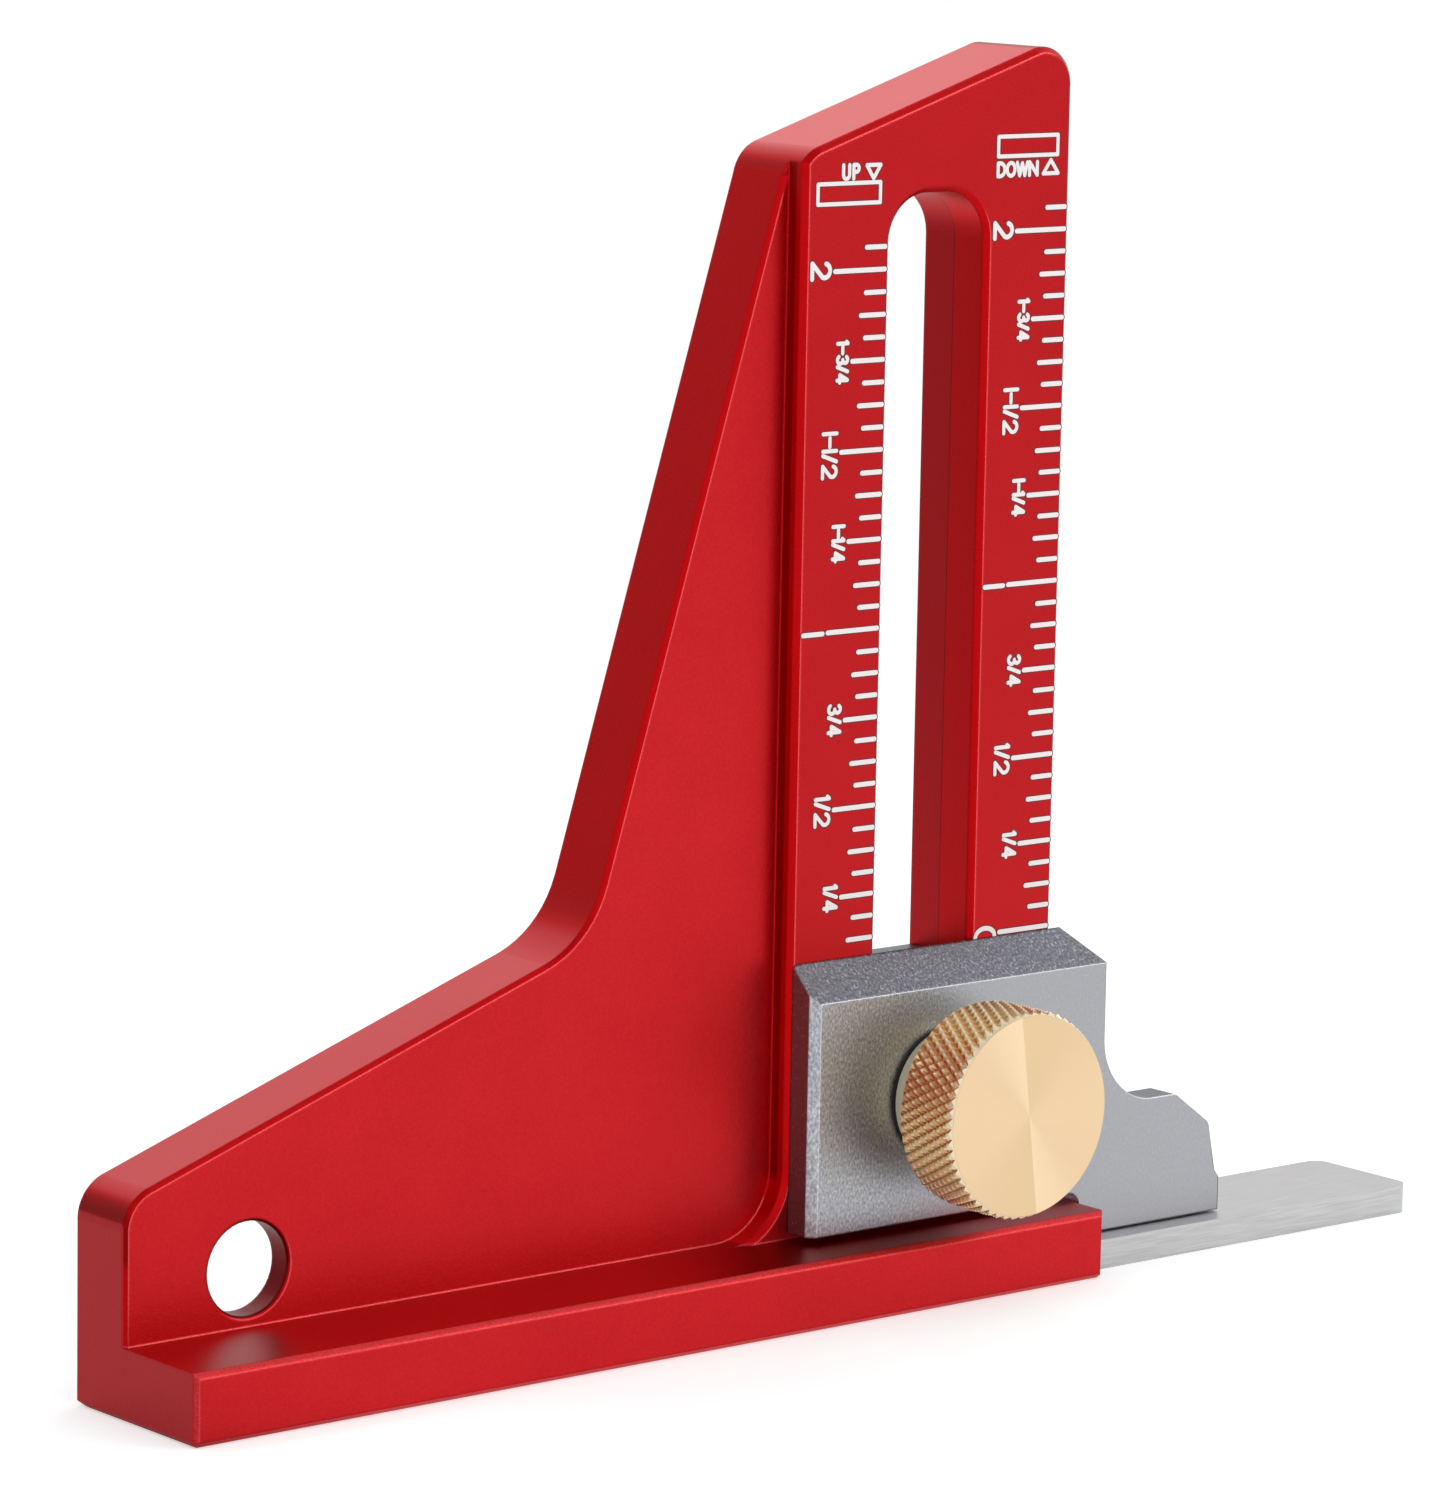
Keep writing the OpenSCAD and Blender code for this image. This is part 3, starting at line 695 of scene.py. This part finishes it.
def writing(text, height, gap_share=GLYPH_GAP_SHARE):
    """The strokes of a line of text from its left end, as lists of (along, up)."""
    strokes, along = [], 0.0
    for letter in text:
        width, lines = GLYPHS[letter]
        strokes += [[((along + u) * height, v * height) for u, v in line] for line in lines]
        along += width + gap_share
    return strokes


def upright(strokes, x, z):
    """Writing that reads along +X, from its lower left corner."""
    return [[(x + u, z + v) for u, v in line] for line in strokes]


def downward(strokes, x, z):
    """Writing that reads downwards, with its feet to -X, from its first corner."""
    return [[(x + v, z - u) for u, v in line] for line in strokes]


def pen_lines(strokes):
    """The strokes broken at their sharp corners, without points that repeat."""
    lines = []
    for stroke in strokes:
        points = [Vector(p) for p in stroke]
        points = [p for i, p in enumerate(points) if i == 0 or (p - points[i - 1]).length > PRINT_PROUD]
        line = points[:2]
        for before, corner, after in zip(points, points[1:], points[2:]):
            if (corner - before).angle(after - corner) > PEN_CORNER:
                lines.append(line)
                line = [corner]
            line.append(after)
        lines.append(line)
    return lines


def pen_sides(line, width):
    """Left and right side of a pen line."""
    left, right = [], []
    for i, p in enumerate(line):
        before = (p - line[max(i - 1, 0)]).normalized()
        after = (line[min(i + 1, len(line) - 1)] - p).normalized()
        way = (before + after).normalized()
        side = Vector((-way.y, way.x)) * width / 2
        left.append(p + side)
        right.append(p - side)
    return left, right


def pen_end(centre, spoke):
    """Points round the end of a pen line, from one of its sides to the other."""
    turns = [Matrix.Rotation(-pi * i / PEN_END_STEPS, 2) for i in range(1, PEN_END_STEPS)]
    return [centre + turn @ spoke for turn in turns]


def add_ribbon(mesh, line, width, top_y):
    """A pen line as a flat ribbon with round ends, from the plane top_y into the scale face."""
    left, right = pen_sides(line, width)
    start = pen_end(line[0], right[0] - line[0])
    end = pen_end(line[-1], left[-1] - line[-1])
    rim = left + end + right[::-1] + start
    tops = [mesh.verts.new((p.x, top_y, p.y)) for p in rim]
    feet = [mesh.verts.new((p.x, PRINT_SUNK, p.y)) for p in rim]
    left_last = len(left) - 1
    right_first = len(left) + len(end)
    right_last = right_first + len(right) - 1
    for i in range(left_last):
        j = right_last - i
        mesh.faces.new((tops[i], tops[i + 1], tops[j - 1], tops[j]))
    mesh.faces.new(tops[left_last:right_first + 1])
    mesh.faces.new(tops[right_last:] + tops[:1])
    for i in range(len(rim)):
        j = (i + 1) % len(rim)
        mesh.faces.new((tops[i], tops[j], feet[j], feet[i]))


def print_strokes(name, strokes, width, proud, finish):
    """Print on the scale face, with pen lines that cross on different layers."""
    mesh = bmesh.new()
    for n, line in enumerate(pen_lines(strokes)):
        add_ribbon(mesh, line, width, -proud - n % PRINT_LAYERS * PRINT_LAYER)
    bmesh.ops.recalc_face_normals(mesh, faces=mesh.faces)
    add_piece(name, mesh, finish, "base")


def add_mesh(name, mesh, material):
    """Puts a finished mesh in the scene."""
    data = bpy.data.meshes.new(name)
    mesh.to_mesh(data)
    mesh.free()
    data.materials.append(material)
    made = bpy.data.objects.new(name, data)
    bpy.context.scene.collection.objects.link(made)
    return made


def add_piece(name, mesh, material, body):
    """Puts a finished mesh in the scene, on a body and in a material slot."""
    piece = add_mesh(name, mesh, material)
    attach(piece, body)


def tick_length(sixteenths):
    """Length of the line at this many sixteenths."""
    return next(length for step, length in TICK_LENGTHS if sixteenths % step == 0)


def scale_print(name, end_x, zero_z, first, labels):
    """Names, strokes and pen widths of one scale's lines, whole inches and fractions."""
    ticks, inches, fractions = [], [], []
    for n in range(first, LAST_SIXTEENTH + 1):
        z = zero_z + n * SIXTEENTH
        ticks.append([(end_x - tick_length(n) + TICK_STROKE / 2, z), (end_x - TICK_STROKE / 2, z)])
    for n, text, height, lead in labels:
        whole = len(text) == 1
        stroke = TICK_STROKE if whole else FINE_STROKE
        x = end_x - tick_length(n) - LABEL_GAP - stroke / 2 - height
        placed = downward(writing(text, height), x, zero_z + n * SIXTEENTH + lead)
        (inches if whole else fractions).extend(placed)
    return [
        (name + "_scale_lines", ticks, TICK_STROKE),
        (name + "_scale_inches", inches, TICK_STROKE),
        (name + "_scale_fractions", fractions, FINE_STROKE),
    ]


def head_print(name, word, word_place, word_height, gap_share, box, arrow):
    """Names, strokes and pen widths of the word, the empty box and the arrow at the head of a scale."""
    left, low, right, high = box
    middle = ((left + right) / 2, low)
    outline = [middle, (right, low), (right, high), (left, high), (left, low), middle]
    base_left, base_right, tip = arrow
    start = ((base_left[0] + base_right[0]) / 2, base_left[1])
    return [
        (name + "_word", upright(writing(word, word_height, gap_share), *word_place), FINE_STROKE),
        (name + "_box", [outline], FINE_STROKE),
        (name + "_arrow", [[start, base_right, tip, base_left, start]], FINE_STROKE),
    ]


def add_print():
    """All the white print, and a darker rim of painted shade round each piece of it."""
    pieces = scale_print("up", UP_TICK_END, UP_ZERO_Z, UP_FIRST_SIXTEENTH, LABELS)
    pieces += scale_print("down", DOWN_TICK_END, DOWN_ZERO_Z, 0, (ZERO_LABEL,) + LABELS)
    for head in HEADS:
        pieces += head_print(**head)
    white = white_print()
    for name, strokes, width in pieces:
        print_strokes(name, strokes, width, PRINT_PROUD, white)
    shade_finish = print_shade_rim()
    for i, (_, strokes, width) in enumerate(pieces):
        print_strokes("print_edge_%d" % i, strokes, width + 2 * PRINT_SHADE_W, PRINT_SHADE_PROUD, shade_finish)


def dress_cad():
    """Each machined part gets its finish."""
    finishes = {
        "frame": red_anodised,
        "slide": blasted_steel,
        "clamp_knob": turned_brass,
        "knob_washer": black_fibre,
        "clamp_stud": threaded_steel,
        "clamp_nut": dark_steel,
        "base_bar": brushed_stainless,
        "bar_screws": dark_steel,
        "base_magnets": nickel_plate,
    }
    for name, finish in finishes.items():
        part = frame["nodes"][name]
        part.data.materials.clear()
        part.data.materials.append(finish())


def add_camera():
    """The photograph's camera, with a lens for the picture's width."""
    data = bpy.data.cameras.new("camera")
    camera = bpy.data.objects.new("camera", data)
    data.lens = CAMERA_LENS
    data.sensor_width = CAMERA_SENSOR
    data.sensor_fit = "HORIZONTAL"
    turn = Matrix.Rotation(-CAMERA_AZIMUTH, 3, "Z") @ Matrix.Rotation(pi / 2 - CAMERA_DIP, 3, "X")
    turn = turn @ Matrix.Rotation(CAMERA_ROLL, 3, "Z")
    camera.matrix_world = Matrix.Translation(CAMERA_PLACE) @ turn.to_4x4()
    bpy.context.scene.collection.objects.link(camera)
    bpy.context.scene.camera = camera


# Studio: the wall's brightness, how much its back left corner is duller, how much its window at the
# front left and its high back are brighter, and the ceiling's share that is taken off; 1 is white
WALL = 0.89
DULL_CORNER = 0.33
WINDOW = 0.4
HIGH_BACK = 0.14
CEILING_SHARE = 0.28
WHITE = (1.0, 1.0, 1.0, 1.0)
# What the studio and the far floor send to matt surfaces
STUDIO_ON_MATT = 0.85
FLOOR_ON_MATT = 0.8
# Floor: half its side, how far it lies under the sole, its paper, the glow that makes it white to the
# camera, the glow that metal mirrors, and the stretch of X over which that one rises
FLOOR_HALF = 8.0
FLOOR_DROP = 0.01 * MM
PAPER = (0.76, 0.8, 0.8, 1)
GLOW_SEEN = 0.42
GLOW_IN_METAL = 0.34
GLOW_X = (-75 * MM, -50 * MM)
# Distances from the gauge between which the paper turns into plain white
PLAIN_WHITE = (120 * MM, 300 * MM)
# Where the lamps aim
GAUGE_MIDDLE = (0.0, 0.0, 40 * MM)
COLUMN_HEAD = (0.0, 0.0, 86 * MM)


def seen_directly(tree):
    """1 for what the camera sees, straight or in metal and glass, and 1 for what it sees straight."""
    camera_ray = tree.node("ShaderNodeLightPath", output="Is Camera Ray")
    glossy = tree.other_output(camera_ray, "Is Glossy Ray")
    through = tree.other_output(camera_ray, "Is Transmission Ray")
    return tree.maths("MINIMUM", camera_ray + glossy + through, 1.0), camera_ray


def wall_level(along, away):
    """Brightness of the studio's wall: duller at the back left and brighter at the front left."""
    dull = along.ramp(0.05, -0.45) * away.ramp(0.05, 0.45)
    window = away.ramp(-0.84, -0.93) * along.ramp(0.30, 0.10)
    return WALL - DULL_CORNER * dull + WINDOW * window


def high_back(away, up):
    """1 on the high part of the wall behind the gauge, which its slopes and top face show."""
    return away.ramp(0.50, 0.66) * up.ramp(0.28, 0.42) * up.ramp(0.80, 0.66)


def add_world():
    """A white studio with a slightly darker ceiling."""
    world = bpy.data.worlds.new("studio")
    world.use_nodes = True
    tree = Tree(world.node_tree)
    direct, camera_ray = seen_directly(tree)
    along, away, up = tree.axes(tree.node("ShaderNodeTexCoord", output="Generated"))
    level = wall_level(along, away) + HIGH_BACK * high_back(away, up)
    level = level * (1 - CEILING_SHARE * up.ramp(0.78, 0.92))
    level = level * (1 - camera_ray) + camera_ray
    level = level * direct + STUDIO_ON_MATT * (1 - direct)
    background = tree.node("ShaderNodeBackground", sockets={"Color": WHITE, "Strength": level})
    tree.node("ShaderNodeOutputWorld", sockets={"Surface": background})
    bpy.context.scene.world = world


def add_lamp(name, place, aim, size, power):
    """A rectangular lamp that the camera doesn't see."""
    data = bpy.data.lights.new(name, "AREA")
    data.shape = "RECTANGLE"
    data.size, data.size_y = size
    data.energy = power
    lamp = bpy.data.objects.new(name, data)
    lamp.visible_camera = False
    lamp.location = place
    lamp.rotation_euler = (Vector(aim) - Vector(place)).to_track_quat("-Z", "Y").to_euler()
    bpy.context.scene.collection.objects.link(lamp)


def add_lamps():
    """A long lamp for the scale face, one overhead, and a small one behind the head of the column."""
    add_lamp("front", place=(0.33, -0.42, 0.31), aim=GAUGE_MIDDLE, size=(0.34, 0.07), power=0.55)
    add_lamp("overhead", place=(0.16, 0.17, 0.50), aim=GAUGE_MIDDLE, size=(0.10, 0.10), power=0.18)
    add_lamp("back", place=(0.08, 0.152, 0.188), aim=COLUMN_HEAD, size=(0.06, 0.06), power=0.006)


def floor_paper():
    """White paper that keeps the shadow and turns into plain white away from the gauge."""
    material = bpy.data.materials.new("floor_paper")
    material.use_nodes = True
    tree = Tree(material.node_tree)
    direct, camera_ray = seen_directly(tree)
    mirrored = direct - camera_ray
    place = tree.position()
    x, _, _ = tree.axes(place)
    along, away, _ = tree.axes(tree.vector_maths("NORMALIZE", place))
    glow = camera_ray * GLOW_SEEN + mirrored * x.ramp(*GLOW_X) * GLOW_IN_METAL
    far_level = wall_level(along, away) * mirrored + camera_ray + FLOOR_ON_MATT * (1 - direct)
    paper = tree.node("ShaderNodeBsdfDiffuse", sockets={"Color": PAPER})
    light = tree.node("ShaderNodeEmission", sockets={"Color": WHITE, "Strength": glow})
    near = tree.node("ShaderNodeAddShader", sockets={0: paper, 1: light})
    far = tree.node("ShaderNodeEmission", sockets={"Color": WHITE, "Strength": far_level})
    far_off = tree.length(place).ramp(*PLAIN_WHITE)
    blend = tree.node("ShaderNodeMixShader", sockets={0: far_off, 1: near, 2: far})
    tree.node("ShaderNodeOutputMaterial", sockets={"Surface": blend})
    return material


def add_floor():
    """A wide sheet of paper just under the sole."""
    mesh = bmesh.new()
    bmesh.ops.create_grid(mesh, x_segments=1, y_segments=1, size=FLOOR_HALF)
    floor = add_mesh("floor", mesh, floor_paper())
    floor.location.z = -FLOOR_DROP


dress_cad()
add_print()
add_camera()
add_world()
add_lamps()
add_floor()
bpy.context.scene.view_settings.view_transform = "Standard"
